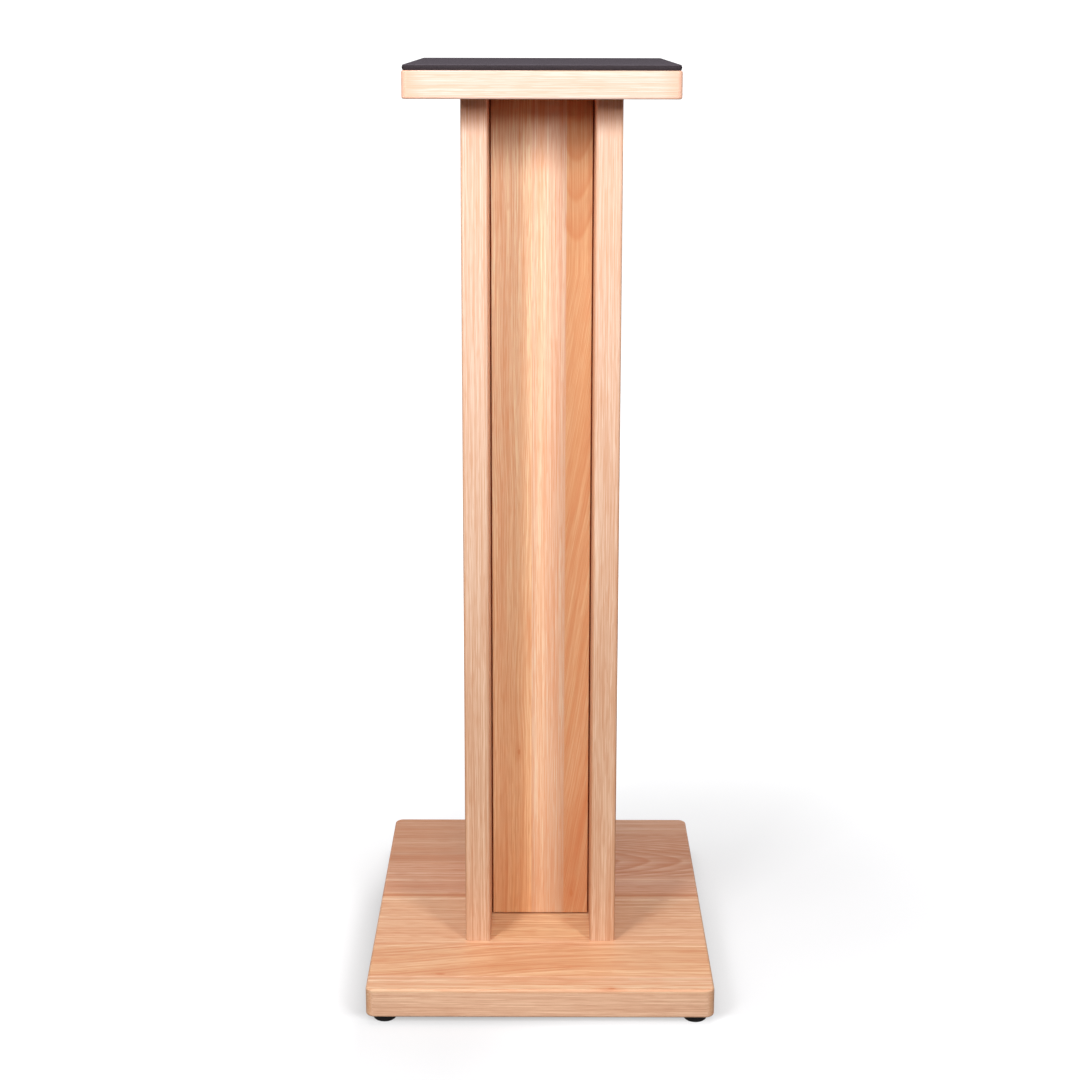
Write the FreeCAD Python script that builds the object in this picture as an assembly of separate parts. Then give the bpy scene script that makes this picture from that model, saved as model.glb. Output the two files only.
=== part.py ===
import FreeCAD, Part
import os

# Floor stand for one loudspeaker: base board, column of two uprights and two recessed panels,
# top plate with a soft pad, four short feet, and the dowels and screws that join them.
# Origin: on the floor, in the middle of the footprint. +X is right as seen from the front,
# +Y points to the back, +Z is up. All sizes are in millimetres.

# Overall
stand_height = 900.0            # floor to the top of the pad

# Base plate
base_width = 335.0
base_depth = 450.0
base_thickness = 29.0
base_corner_radius = 9.0        # vertical corners
base_edge_radius = 2.5          # round-over of the long edges

# Top plate
top_width = 250.0
top_depth = 350.0
top_thickness = 25.0
top_corner_radius = 5.5
top_edge_radius = 2.0

# Pad on the top plate
pad_thickness = 5.0
pad_inset = 0.5                 # plate left bare on each side of the pad
pad_edge_radius = 0.8

# Column
column_width = 150.0
column_depth = 225.0
upright_thickness = 25.0
upright_edge_radius = 2.75
panel_thickness = 25.0
panel_spacing = 40.0            # hollow between the front and the rear panel
panel_edge_radius = 0.6         # softened rim of each panel's outer face
panel_rebate_width = 1.3        # shadow gap round the outer face
panel_rebate_depth = 4.0

# Countersunk wood screws that hold the uprights to the base and top plates
screws_per_upright = 3
screw_end_distance = 30.0       # from the column's front and back faces to the outer screws
screw_length = 70.0
screw_shank_diameter = 6.0
screw_head_diameter = 12.0
screw_head_rim = 0.6            # straight rim above the cone of the head
screw_cone_depth = 3.0
screw_tip_length = 6.0
screw_head_recess = 0.5         # head face below the surface of the board
screw_drive_span = 6.0
screw_drive_slot = 1.6
screw_drive_depth = 3.0
screw_clearance = 0.1           # all round the screw
screw_pilot_extra = 3.0         # bore deeper than the tip

# Dowels between the uprights and the base and top plates
dowel_diameter = 8.0
dowel_chamfer = 1.0
dowel_clearance = 0.05          # all round the dowel
dowel_end_gap = 1.0             # room for glue at each end of the dowel
end_dowel_length = 40.0
end_dowel_plate_depth = 15.0    # share of the dowel in the base or top plate

# Dowels between the panels and the uprights
panel_dowels_per_edge = 5
panel_dowel_end_distance = 60.0
panel_dowel_length = 35.0
panel_dowel_upright_depth = 12.0

# Feet, each held by a pan-head screw and a washer in a recess
foot_height = 8.0
foot_top_diameter = 24.0
foot_floor_diameter = 21.0
foot_floor_chamfer = 1.0        # eased edge at the floor
foot_inset = 17.5             # foot centre to the side and front edges of the base
foot_recess_diameter = 12.0
foot_screw_cover = 1.6          # screw head above the floor
foot_screw_length = 20.0
foot_screw_diameter = 4.0
foot_screw_tip_length = 4.0
foot_screw_head_diameter = 7.5
foot_screw_head_height = 2.4
foot_screw_head_chamfer = 0.8
foot_drive_span = 4.0
foot_drive_slot = 1.1
foot_drive_depth = 1.5
washer_diameter = 10.0
washer_hole_diameter = 4.4
washer_thickness = 1.0

# Levels and places that follow from the sizes above
base_bottom = foot_height
base_top = base_bottom + base_thickness
plate_top = stand_height - pad_thickness
plate_bottom = plate_top - top_thickness
column_height = plate_bottom - base_top
upright_centre = (column_width - upright_thickness) / 2
panel_width = column_width - 2 * upright_thickness
panel_centre = (panel_spacing + panel_thickness) / 2
foot_recess_depth = foot_screw_cover + foot_screw_head_height + washer_thickness

coincident = 0.001              # lengths below this count as zero
sides = (-1, 1)


def evenly_spaced(first, last, count):
    """Positions from first to last with equal steps."""
    step = (last - first) / (count - 1)
    return [first + step * index for index in range(count)]


def edges_at_height(shape, height):
    """Edges that lie flat at one height."""
    return [
        edge for edge in shape.Edges
        if abs(edge.BoundBox.ZMin - height) < coincident and abs(edge.BoundBox.ZMax - height) < coincident
    ]


def edges_along_z(shape):
    """Straight edges parallel to the Z axis."""
    return [
        edge for edge in shape.Edges
        if edge.BoundBox.XLength < coincident and edge.BoundBox.YLength < coincident
    ]


def turned(outline):
    """Solid of revolution about the Z axis from (radius, height) points."""
    points = [FreeCAD.Vector(radius, 0, height) for radius, height in outline]
    face = Part.Face(Part.makePolygon(points + points[:1]))
    return face.revolve(FreeCAD.Vector(0, 0, 0), FreeCAD.Vector(0, 0, 1), 360)


def placed(shape, x, y, z, axis=FreeCAD.Vector(0, 0, 1), angle=0):
    """Copy of a shape, turned about an axis through the origin and then moved."""
    copy = shape.copy()
    turn = FreeCAD.Rotation(axis, angle)
    copy.Placement = FreeCAD.Placement(FreeCAD.Vector(x, y, z), turn)
    return copy


def upside_down(shape, x, y, z):
    """Copy of a shape that points the other way along Z."""
    return placed(shape, x, y, z, FreeCAD.Vector(1, 0, 0), 180)


def along_x(shape, x, y, z):
    """Copy of a shape whose Z axis now runs along X."""
    return placed(shape, x, y, z, FreeCAD.Vector(0, 1, 0), 90)


def board(width, depth, thickness, corner_radius, bottom):
    """Flat board centred on the Z axis, with rounded vertical corners."""
    corner = FreeCAD.Vector(-width / 2, -depth / 2, bottom)
    box = Part.makeBox(width, depth, thickness, corner)
    return box.makeFillet(corner_radius, edges_along_z(box))


# Screws

def cross_recess(span, slot, depth):
    """Cross-shaped driver recess that goes down from z = 0."""
    corner = FreeCAD.Vector(-span / 2, -slot / 2, -depth)
    wing = Part.makeBox(span, slot, depth, corner)
    return wing.fuse(placed(wing, 0, 0, 0, angle=90))


def wood_screw():
    """Countersunk screw with its head face at z = 0 and its tip down."""
    head = screw_head_diameter / 2
    shank = screw_shank_diameter / 2
    neck = -screw_head_rim - screw_cone_depth
    body = turned([
        (0, 0),
        (head, 0),
        (head, -screw_head_rim),
        (shank, neck),
        (shank, screw_tip_length - screw_length),
        (0, -screw_length),
    ])
    return body.cut(cross_recess(screw_drive_span, screw_drive_slot, screw_drive_depth))


def wood_screw_bore():
    """Countersink, through bore and pilot bore for one wood screw."""
    head = screw_head_diameter / 2 + screw_clearance
    shank = screw_shank_diameter / 2 + screw_clearance
    neck = -screw_head_rim - screw_cone_depth
    end = -screw_length - screw_pilot_extra
    return turned([
        (0, screw_head_recess),
        (head, screw_head_recess),
        (head, -screw_head_rim),
        (shank, neck),
        (shank, end),
        (0, end),
    ])


def screw_rows():
    """Y positions of the screws in each upright."""
    reach = column_depth / 2 - screw_end_distance
    return evenly_spaced(-reach, reach, screws_per_upright)


def column_screw_places():
    """(x, y) of every screw that enters an end of the column."""
    return [(side * upright_centre, y) for side in sides for y in screw_rows()]


def at_column_base(shape):
    """One copy under every base screw place, pointing up."""
    height = base_bottom + screw_head_recess
    return [upside_down(shape, x, y, height) for x, y in column_screw_places()]


def at_column_top(shape):
    """One copy at every top screw place, pointing down."""
    height = plate_top - screw_head_recess
    return [placed(shape, x, y, height) for x, y in column_screw_places()]


# Dowels

def dowel(length):
    """Wooden dowel with chamfered ends, centred on the origin along Z."""
    radius = dowel_diameter / 2
    half = length / 2
    return turned([
        (0, -half),
        (radius - dowel_chamfer, -half),
        (radius, dowel_chamfer - half),
        (radius, half - dowel_chamfer),
        (radius - dowel_chamfer, half),
        (0, half),
    ])


def dowel_bore(length):
    """Bore for one dowel, with room for glue at both ends."""
    radius = dowel_diameter / 2 + dowel_clearance
    half = length / 2 + dowel_end_gap
    return Part.makeCylinder(radius, 2 * half, FreeCAD.Vector(0, 0, -half))


def at_end_joints(shape, joint_height, into_column):
    """Copies midway between the screws, across the joint of column and plate."""
    rows = screw_rows()
    middles = [(front + back) / 2 for front, back in zip(rows, rows[1:])]
    centre = joint_height + into_column * (end_dowel_length / 2 - end_dowel_plate_depth)
    return [placed(shape, side * upright_centre, y, centre) for side in sides for y in middles]


def at_panel_joints(shape, facing):
    """Copies across both joints between the uprights and one panel."""
    first = base_top + panel_dowel_end_distance
    last = plate_bottom - panel_dowel_end_distance
    centre = panel_width / 2 + panel_dowel_upright_depth - panel_dowel_length / 2
    return [
        along_x(shape, side * centre, facing * panel_centre, height)
        for side in sides
        for height in evenly_spaced(first, last, panel_dowels_per_edge)
    ]


# Boards

def base_plate():
    plate = board(base_width, base_depth, base_thickness, base_corner_radius, base_bottom)
    rims = edges_at_height(plate, base_bottom) + edges_at_height(plate, base_top)
    plate = plate.makeFillet(base_edge_radius, rims)
    bores = at_column_base(wood_screw_bore())
    bores += at_end_joints(dowel_bore(end_dowel_length), base_top, 1)
    bores += at_feet(foot_screw_bore())
    return plate.cut(bores)


def top_plate():
    plate = board(top_width, top_depth, top_thickness, top_corner_radius, plate_bottom)
    rims = edges_at_height(plate, plate_bottom) + edges_at_height(plate, plate_top)
    plate = plate.makeFillet(top_edge_radius, rims)
    bores = at_column_top(wood_screw_bore())
    bores += at_end_joints(dowel_bore(end_dowel_length), plate_bottom, -1)
    return plate.cut(bores)


def top_pad():
    """Thin pad that covers the screws of the top plate."""
    width = top_width - 2 * pad_inset
    depth = top_depth - 2 * pad_inset
    pad = board(width, depth, pad_thickness, top_corner_radius, plate_top)
    return pad.makeFillet(pad_edge_radius, edges_at_height(pad, stand_height))


def upright(side):
    """Side board of the column, -1 for left and 1 for right."""
    plank = board(upright_thickness, column_depth, column_height, upright_edge_radius, base_top)
    plank = placed(plank, side * upright_centre, 0, 0)
    bores = at_column_base(wood_screw_bore()) + at_column_top(wood_screw_bore())
    bores += at_end_joints(dowel_bore(end_dowel_length), base_top, 1)
    bores += at_end_joints(dowel_bore(end_dowel_length), plate_bottom, -1)
    for facing in sides:
        bores += at_panel_joints(dowel_bore(panel_dowel_length), facing)
    return plank.cut([bore for bore in bores if bore.BoundBox.Center.x * side > 0])


def panel_layer(facing, near, far, margin):
    """Part of a panel between two distances from the column's middle, set in by a margin."""
    front = min(facing * near, facing * far)
    corner = FreeCAD.Vector(margin - panel_width / 2, front, base_top + margin)
    return Part.makeBox(panel_width - 2 * margin, far - near, column_height - 2 * margin, corner)


def panel(facing):
    """Board between the uprights, -1 for the front one and 1 for the rear one."""
    inner = panel_spacing / 2
    outer = inner + panel_thickness
    shoulder = outer - panel_rebate_depth
    plank = panel_layer(facing, inner, shoulder, 0)
    plank = plank.fuse(panel_layer(facing, shoulder, outer, panel_rebate_width))
    rim = [
        edge for edge in plank.Edges
        if abs(edge.BoundBox.Center.y - facing * outer) < coincident and edge.BoundBox.YLength < coincident
    ]
    plank = plank.makeFillet(panel_edge_radius, rim)
    return plank.cut(at_panel_joints(dowel_bore(panel_dowel_length), facing))


# Feet

def foot():
    """Tapered foot on the floor, with a recess for screw and washer."""
    cone = Part.makeCone(foot_floor_diameter / 2, foot_top_diameter / 2, foot_height)
    cone = cone.makeChamfer(foot_floor_chamfer, edges_at_height(cone, 0))
    recess = Part.makeCylinder(foot_recess_diameter / 2, foot_recess_depth)
    bore = Part.makeCylinder(foot_screw_diameter / 2 + screw_clearance, foot_height)
    return cone.cut([recess, bore])


def foot_screw():
    """Pan-head screw with the seat of its head at z = 0 and its tip up."""
    head = Part.makeCylinder(foot_screw_head_diameter / 2, foot_screw_head_height)
    head = head.makeChamfer(foot_screw_head_chamfer, edges_at_height(head, foot_screw_head_height))
    recess = cross_recess(foot_drive_span, foot_drive_slot, foot_drive_depth)
    head = head.cut(placed(recess, 0, 0, foot_screw_head_height))
    shank = foot_screw_diameter / 2
    stem = turned([
        (0, 0),
        (shank, 0),
        (shank, foot_screw_length - foot_screw_tip_length),
        (0, foot_screw_length),
    ])
    return stem.fuse(upside_down(head, 0, 0, 0))


def foot_screw_bore():
    """Pilot bore in the base plate, from the same seat as the screw."""
    radius = foot_screw_diameter / 2 + screw_clearance
    return Part.makeCylinder(radius, foot_screw_length + screw_pilot_extra)


def foot_washer():
    """Flat washer above the seat of the screw head."""
    disc = Part.makeCylinder(washer_diameter / 2, washer_thickness)
    return disc.cut(Part.makeCylinder(washer_hole_diameter / 2, washer_thickness))


def foot_places():
    """Name and (x, y) of every foot."""
    across = base_width / 2 - foot_inset
    along = base_depth / 2 - foot_inset
    rows = {"front": -along, "rear": along}
    columns = {"left": -across, "right": across}
    return {
        f"{row}_{column}_foot": (x, y)
        for row, y in rows.items() for column, x in columns.items()
    }


def at_feet(shape):
    """One copy at the seat of every foot screw head."""
    seat = foot_screw_cover + foot_screw_head_height
    return [placed(shape, x, y, seat) for x, y in foot_places().values()]


def build_nodes():
    """Every piece of the stand by name; identical fasteners share a node."""
    nodes = {
        "base_plate": base_plate(),
        "left_upright": upright(-1),
        "right_upright": upright(1),
        "front_panel": panel(-1),
        "rear_panel": panel(1),
        "top_plate": top_plate(),
        "top_pad": top_pad(),
        "base_screws": Part.makeCompound(at_column_base(wood_screw())),
        "top_screws": Part.makeCompound(at_column_top(wood_screw())),
        "base_dowels": Part.makeCompound(at_end_joints(dowel(end_dowel_length), base_top, 1)),
        "top_dowels": Part.makeCompound(at_end_joints(dowel(end_dowel_length), plate_bottom, -1)),
        "front_panel_dowels": Part.makeCompound(at_panel_joints(dowel(panel_dowel_length), -1)),
        "rear_panel_dowels": Part.makeCompound(at_panel_joints(dowel(panel_dowel_length), 1)),
        "foot_screws": Part.makeCompound(at_feet(foot_screw())),
        "foot_washers": Part.makeCompound(at_feet(foot_washer())),
    }
    for name, (x, y) in foot_places().items():
        nodes[name] = placed(foot(), x, y, 0)
    return nodes


os.makedirs("parts", exist_ok=True)
for node_name, node_shape in build_nodes().items():
    node_shape.exportStep(f"parts/{node_name}.step")
    print(f"{node_name}: {len(node_shape.Solids)} solids, valid {node_shape.isValid()}")
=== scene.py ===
import math

import bmesh
import bpy
from mathutils import Matrix, Vector


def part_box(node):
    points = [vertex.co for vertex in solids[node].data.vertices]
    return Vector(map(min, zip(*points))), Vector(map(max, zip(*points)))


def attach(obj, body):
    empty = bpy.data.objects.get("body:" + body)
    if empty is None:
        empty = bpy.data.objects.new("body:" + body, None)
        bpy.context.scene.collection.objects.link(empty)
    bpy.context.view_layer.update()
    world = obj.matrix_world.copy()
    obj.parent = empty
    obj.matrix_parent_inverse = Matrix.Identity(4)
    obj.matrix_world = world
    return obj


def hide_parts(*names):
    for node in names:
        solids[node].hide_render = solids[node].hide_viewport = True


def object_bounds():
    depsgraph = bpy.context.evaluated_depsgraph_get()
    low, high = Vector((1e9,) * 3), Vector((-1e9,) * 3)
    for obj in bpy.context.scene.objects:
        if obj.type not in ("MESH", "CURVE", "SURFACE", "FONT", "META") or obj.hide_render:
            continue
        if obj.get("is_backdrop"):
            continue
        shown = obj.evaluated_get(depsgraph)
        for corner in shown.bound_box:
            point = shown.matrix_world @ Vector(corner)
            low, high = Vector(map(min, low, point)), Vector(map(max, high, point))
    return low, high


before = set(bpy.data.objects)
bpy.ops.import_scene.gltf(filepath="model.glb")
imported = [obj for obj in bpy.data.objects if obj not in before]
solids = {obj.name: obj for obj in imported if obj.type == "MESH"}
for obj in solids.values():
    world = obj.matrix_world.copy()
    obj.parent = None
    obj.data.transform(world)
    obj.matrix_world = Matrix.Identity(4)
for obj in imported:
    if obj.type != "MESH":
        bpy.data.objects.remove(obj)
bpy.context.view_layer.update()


# ---------------------------------------------------------------------------------------------
# Base plate
# Board of light hardwood, glued up from five planks that run left to right. Its corners and
# long edges are sanded round and it is oiled. It stands on four feet and carries the column.
# ---------------------------------------------------------------------------------------------

def seen(red, green, blue):
    """Linear colour from the 0 to 255 values that a screen shows."""
    def linear(value):
        share = value / 255
        return share / 12.92 if share <= 0.04045 else ((share + 0.055) / 1.055) ** 2.4
    return (linear(red), linear(green), linear(blue), 1.0)


def add(tree, kind, inputs=None, **settings):
    """One node. Inputs are plain values or other nodes' sockets, by name or number."""
    made = tree.nodes.new(kind)
    for name, value in settings.items():
        setattr(made, name, value)
    for name, value in (inputs or {}).items():
        if isinstance(value, bpy.types.NodeSocket):
            tree.links.new(value, made.inputs[name])
        else:
            made.inputs[name].default_value = value
    return made


def maths(tree, operation, *terms):
    made = add(tree, "ShaderNodeMath", dict(enumerate(terms)), operation=operation)
    return made.outputs[0]


def product(tree, first, *others):
    result = first
    for factor in others:
        result = maths(tree, "MULTIPLY", result, factor)
    return result


def between(tree, value, low, high):
    """0 below low, 1 above high, smooth in between; low may be the larger one."""
    inputs = {"Value": value, "From Min": low, "From Max": high}
    return add(tree, "ShaderNodeMapRange", inputs, interpolation_type="SMOOTHSTEP").outputs[0]


def stretched(tree, vector, scale):
    inputs = {0: vector, 1: scale}
    return add(tree, "ShaderNodeVectorMath", inputs, operation="MULTIPLY").outputs[0]


def moved(tree, vector, offset):
    return add(tree, "ShaderNodeVectorMath", {0: vector, 1: offset}, operation="ADD").outputs[0]


def point(tree, x=0.0, y=0.0, z=0.0):
    return add(tree, "ShaderNodeCombineXYZ", {0: x, 1: y, 2: z}).outputs[0]


def noise(tree, vector, detail=2.0, roughness=0.5):
    inputs = {"Vector": vector, "Scale": 1.0, "Detail": detail, "Roughness": roughness}
    return add(tree, "ShaderNodeTexNoise", inputs).outputs["Fac"]


def wander(tree, place, scale, width, detail=1.5):
    """Slow sideways wander, by half its width to each side."""
    sway = noise(tree, stretched(tree, place, scale), detail)
    return maths(tree, "MULTIPLY", maths(tree, "SUBTRACT", sway, 0.5), width)


def mixed(tree, share, first, second, blend="MIX"):
    inputs = {0: share, 6: first, 7: second}
    return add(tree, "ShaderNodeMix", inputs, data_type="RGBA", blend_type=blend).outputs[2]


def new_group(name, inputs, outputs):
    """Shader node group with named sockets; returns it with its inner ends."""
    group = bpy.data.node_groups.new(name, "ShaderNodeTree")
    for label, value in inputs.items():
        kinds = {3: "NodeSocketVector", 4: "NodeSocketColor"}
        kind = kinds[len(value)] if isinstance(value, tuple) else "NodeSocketFloat"
        socket = group.interface.new_socket(label, in_out="INPUT", socket_type=kind)
        socket.default_value = value
    for label, kind in outputs.items():
        group.interface.new_socket(label, in_out="OUTPUT", socket_type=f"NodeSocket{kind}")
    entry = group.nodes.new("NodeGroupInput")
    end = group.nodes.new("NodeGroupOutput")
    return group, entry.outputs, end.inputs


def use_group(tree, group, inputs):
    return add(tree, "ShaderNodeGroup", inputs, node_tree=group).outputs


def make_wood_group():
    """Planed wood: broad clouds, streaks and fine lines along the grain, with hairs, pores and
    pale glints between them."""
    inputs = {
        "Position": (0.0, 0.0, 0.0),
        "Shift": (0.0, 0.0, 0.0),
        "Wander": 0.005,
        "Lines per metre": 760.0,
        "Clouds": 1.0,
        "Streaks": 1.0,
        "Fine lines": 1.0,
        "Pale": seen(250, 215, 185),
        "Middle": seen(235, 185, 145),
        "Dark": seen(190, 125, 85),
        "Figure": 0.0,
    }
    outputs = {"Color": "Color", "Roughness": "Float", "Height": "Float"}
    group, given, out = new_group("wood", inputs, outputs)

    def grain(vector, along, across, detail, low, high):
        """Noise drawn out along the grain."""
        scale = point(group, along, across, across)
        return between(group, noise(group, stretched(group, vector, scale), detail, 0.6), low, high)

    fibre = moved(group, given["Position"], given["Shift"])
    drift = wander(group, fibre, (2.2, 9.0, 9.0), given["Wander"], 1.0)
    fibre = moved(group, fibre, point(group, 0.0, drift, drift))
    elsewhere = moved(group, fibre, (31.7, 12.3, 5.9))
    farther = moved(group, elsewhere, (3.3, 8.1, 2.7))

    finer = maths(group, "MULTIPLY", given["Lines per metre"], 1.9)
    clouds = grain(fibre, 1.2, 45.0, 1.0, 0.36, 0.64)
    streaks = grain(fibre, 1.8, 150.0, 2.0, 0.44, 0.68)
    lines = grain(fibre, 3.0, given["Lines per metre"], 1.0, 0.40, 0.60)
    hairs = grain(elsewhere, 7.0, finer, 0.0, 0.44, 0.60)
    pores = grain(fibre, 50.0, finer, 0.0, 0.50, 0.64)
    glints = grain(farther, 13.0, finer, 0.0, 0.47, 0.61)

    off_middle = maths(group, "SUBTRACT", clouds, 0.5)
    share = maths(group, "MULTIPLY_ADD", off_middle, given["Clouds"], 0.5)
    colour = mixed(group, share, given["Pale"], given["Middle"])
    for mask, strength, contrast, tone in [
        (streaks, 0.28, "Streaks", "Dark"),
        (lines, 0.34, "Fine lines", "Dark"),
        (glints, 0.60, "Fine lines", "Pale"),
        (hairs, 0.55, "Fine lines", "Dark"),
        (pores, 0.42, "Fine lines", "Dark"),
    ]:
        share = product(group, given[contrast], strength, mask)
        colour = mixed(group, share, colour, given[tone])
    colour = mixed(group, given["Figure"], colour, given["Dark"])
    group.links.new(colour, out["Color"])

    group.links.new(maths(group, "MULTIPLY_ADD", lines, 0.12, 0.42), out["Roughness"])
    height = maths(group, "MULTIPLY_ADD", pores, -0.8, maths(group, "MULTIPLY", lines, -0.5))
    group.links.new(height, out["Height"])
    return group


def make_arch_group():
    """Nested arches of a flat-sawn board, where growth rings come to the surface.
    Each ring is dark at its outer edge and fades inward."""
    inputs = {
        "Along": 0.0, "Across": 0.0, "Tip": 0.0, "Middle": 0.0, "Bend": 100.0,
        "Spacing": 0.03, "Wobble": 0.01, "Sharpness": 2.0,
    }
    group, given, out = new_group("arches", inputs, {"Lines": "Float"})
    side = maths(group, "SUBTRACT", given["Across"], given["Middle"])
    place = point(group, given["Along"], given["Across"])
    sway = wander(group, place, (4.0, 26.0, 1.0), given["Wobble"], 2.0)
    rise = product(group, side, side, given["Bend"])
    level = maths(group, "SUBTRACT", maths(group, "SUBTRACT", given["Along"], given["Tip"]), rise)
    level = maths(group, "ADD", level, sway)
    ring = maths(group, "FRACT", maths(group, "DIVIDE", level, given["Spacing"]))
    fading = maths(group, "POWER", maths(group, "SUBTRACT", 1.0, ring), given["Sharpness"])
    outer_edge = between(group, ring, 0.0, 0.22)
    group.links.new(product(group, fading, outer_edge), out["Lines"])
    return group


def make_knot_group():
    """Small dark knot with a soft halo drawn out along the grain."""
    inputs = {
        "Along": 0.0, "Across": 0.0, "Place along": 0.0, "Place across": 0.0, "Size": 0.003,
    }
    group, given, out = new_group("knot", inputs, {"Mask": "Float"})
    far = maths(group, "SUBTRACT", given["Along"], given["Place along"])
    far = maths(group, "DIVIDE", far, 2.4)
    side = maths(group, "SUBTRACT", given["Across"], given["Place across"])
    square = maths(group, "ADD", product(group, far, far), product(group, side, side))
    share = maths(group, "DIVIDE", maths(group, "SQRT", square), given["Size"])
    core = between(group, share, 1.0, 0.3)
    halo = product(group, between(group, share, 3.2, 0.6), 0.4)
    group.links.new(maths(group, "MAXIMUM", core, halo), out["Mask"])
    return group


wood_group = make_wood_group()
arch_group = make_arch_group()
knot_group = make_knot_group()


def new_material(name):
    made = bpy.data.materials.new(name)
    made.use_nodes = True
    made.node_tree.nodes.clear()
    return made, made.node_tree


def object_place(tree):
    return add(tree, "ShaderNodeTexCoord").outputs["Object"]


def bumped(tree, height, strength, depth):
    inputs = {"Strength": strength, "Distance": depth, "Height": height}
    return add(tree, "ShaderNodeBump", inputs).outputs[0]


def surfaced(material, inputs):
    """The material, finished with one surface that has these inputs."""
    tree = material.node_tree
    surface = add(tree, "ShaderNodeBsdfPrincipled", inputs)
    add(tree, "ShaderNodeOutputMaterial", {"Surface": surface.outputs[0]})
    return material


def board_axes(tree, order):
    """Object coordinates as (along the grain, across it, through the board)."""
    axes = add(tree, "ShaderNodeSeparateXYZ", {0: object_place(tree)}).outputs
    along, across, through = [axes[letter] for letter in order]
    return point(tree, along, across, through), along, across, through


def staves(tree, across, shades, edges):
    """Colour of each stave, changing at the glue lines between them."""
    softness = 0.0008
    colour = seen(*shades[0])
    for shade, edge in zip(shades[1:], edges):
        past_edge = between(tree, across, edge - softness, edge + softness)
        colour = mixed(tree, past_edge, colour, seen(*shade))
    return colour


def toned(tree, mask, tones, shades):
    """Pale and middle tone of a wood, changed to these two shades where the mask is 1."""
    return [mixed(tree, mask, tone, seen(*shade)) for tone, shade in zip(tones, shades)]


def band(tree, across, centre, reach):
    """1 on a line across the board, falling to 0 at the reach on each side."""
    side = maths(tree, "ABSOLUTE", maths(tree, "SUBTRACT", across, centre))
    return between(tree, side, reach, 0.0)


def window(tree, value, low, high, softness):
    """1 between low and high, with soft ends."""
    above_low = between(tree, value, low - softness, low + softness)
    below_high = between(tree, value, high + softness, high - softness)
    return maths(tree, "MULTIPLY", above_low, below_high)


def strongest(tree, masks):
    result = masks[0]
    for mask in masks[1:]:
        result = maths(tree, "MAXIMUM", result, mask)
    return result


def streak_masks(tree, across, streaks):
    """One mask for each streak along the grain: its middle, its reach and its strength."""
    return [
        product(tree, band(tree, across, middle, reach), strength)
        for middle, reach, strength in streaks
    ]


def knot_masks(tree, along, across, knots):
    """One mask for each knot: its place along and across the grain, and its size."""
    masks = []
    for place_along, place_across, size in knots:
        knot = use_group(tree, knot_group, {
            "Along": along, "Across": across,
            "Place along": place_along, "Place across": place_across, "Size": size,
        })
        masks.append(product(tree, knot["Mask"], 0.9))
    return masks


def finish_wood(material, wood, colour=None):
    """Oiled surface over the wood's own colour, or over the one that is given."""
    return surfaced(material, {
        "Base Color": colour or wood["Color"],
        "Roughness": wood["Roughness"],
        "Normal": bumped(material.node_tree, wood["Height"], 0.25, 0.0002),
        "Specular IOR Level": 0.4,
        "Coat Weight": 0.12,
        "Coat Roughness": 0.3,
    })


def dress(piece, material):
    piece.data.materials.clear()
    piece.data.materials.append(material)


plank_edges = [-0.196, -0.120, 0.009, 0.092]


def base_tones(tree, along, across, swaying, face):
    """Pale and middle tone of the five planks, of the board's front face and of its bright streaks,
    with painted light in two places: at the back right and in front of the panel."""
    pale = [(227, 192, 157), (229, 188, 148), (236, 196, 160), (228, 180, 149), (221, 171, 138)]
    middle = [(215, 174, 139), (217, 170, 129), (226, 179, 141), (210, 158, 128), (201, 147, 115)]
    tones = [staves(tree, across, shades, plank_edges) for shades in (pale, middle)]
    tones = toned(tree, face, tones, [(246, 208, 175), (228, 185, 152)])

    bright = strongest(tree, streak_masks(tree, swaying, [
        (-0.008, 0.004, 0.55), (0.044, 0.004, 0.6), (0.063, 0.003, 0.4), (0.150, 0.004, 0.4),
        (-0.1955, 0.003, 0.7), (-0.205, 0.0025, 0.5), (-0.125, 0.003, 0.35),
    ]))
    bright = product(tree, bright, maths(tree, "SUBTRACT", 1.0, face))
    tones = toned(tree, bright, tones, [(255, 224, 194), (250, 212, 180)])

    # Painted light: the back right of the board is painted lighter.
    to_the_right = between(tree, along, -0.06, 0.10)
    to_the_back = between(tree, across, -0.02, 0.03)
    lighter = product(tree, to_the_right, to_the_back, 0.40)
    tones = toned(tree, lighter, tones, [(248, 212, 188), (236, 196, 168)])
    # Painted light: a warm pool of light on the board in front of the panel, between the uprights.
    before_panel = window(tree, across, -0.108, -0.030, 0.012)
    between_uprights = window(tree, along, -0.050, 0.050, 0.006)
    painted_recess_light = product(tree, before_panel, between_uprights, 0.85)
    return toned(tree, painted_recess_light, tones, [(240, 214, 172), (236, 198, 150)])


def base_figure(tree, along, across, swaying, swept, swept_plank):
    """Dark figure of the board: rings in one plank, arches at the back right, streaks and knots."""
    rings = noise(tree, point(tree, along, product(tree, swept, 95.0)), 0.5)
    rings = product(tree, between(tree, rings, 0.53, 0.70), swept_plank, between(tree, along, 0.15, -0.02))
    arches = use_group(tree, arch_group, {
        "Along": product(tree, along, -1.0), "Across": across, "Tip": -0.124,
        "Middle": 0.097, "Bend": 55.0, "Spacing": 0.034, "Wobble": 0.03, "Sharpness": 1.0,
    })
    back = window(tree, across, 0.055, 0.180, 0.006)
    back_right = product(tree, back, between(tree, along, 0.04, 0.09))
    return strongest(tree, [
        product(tree, rings, 0.55),
        product(tree, back_right, 0.95, arches["Lines"]),
        *streak_masks(tree, swaying, [
            (0.003, 0.007, 0.85), (0.024, 0.004, 0.35), (0.104, 0.005, 0.3), (0.135, 0.004, 0.25),
            (-0.1185, 0.003, 0.25), (-0.060, 0.003, 0.18), (-0.146, 0.005, 0.2),
        ]),
        *knot_masks(tree, along, across, [(-0.0973, -0.190, 0.0035), (0.0688, -0.2215, 0.003)]),
    ])


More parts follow.
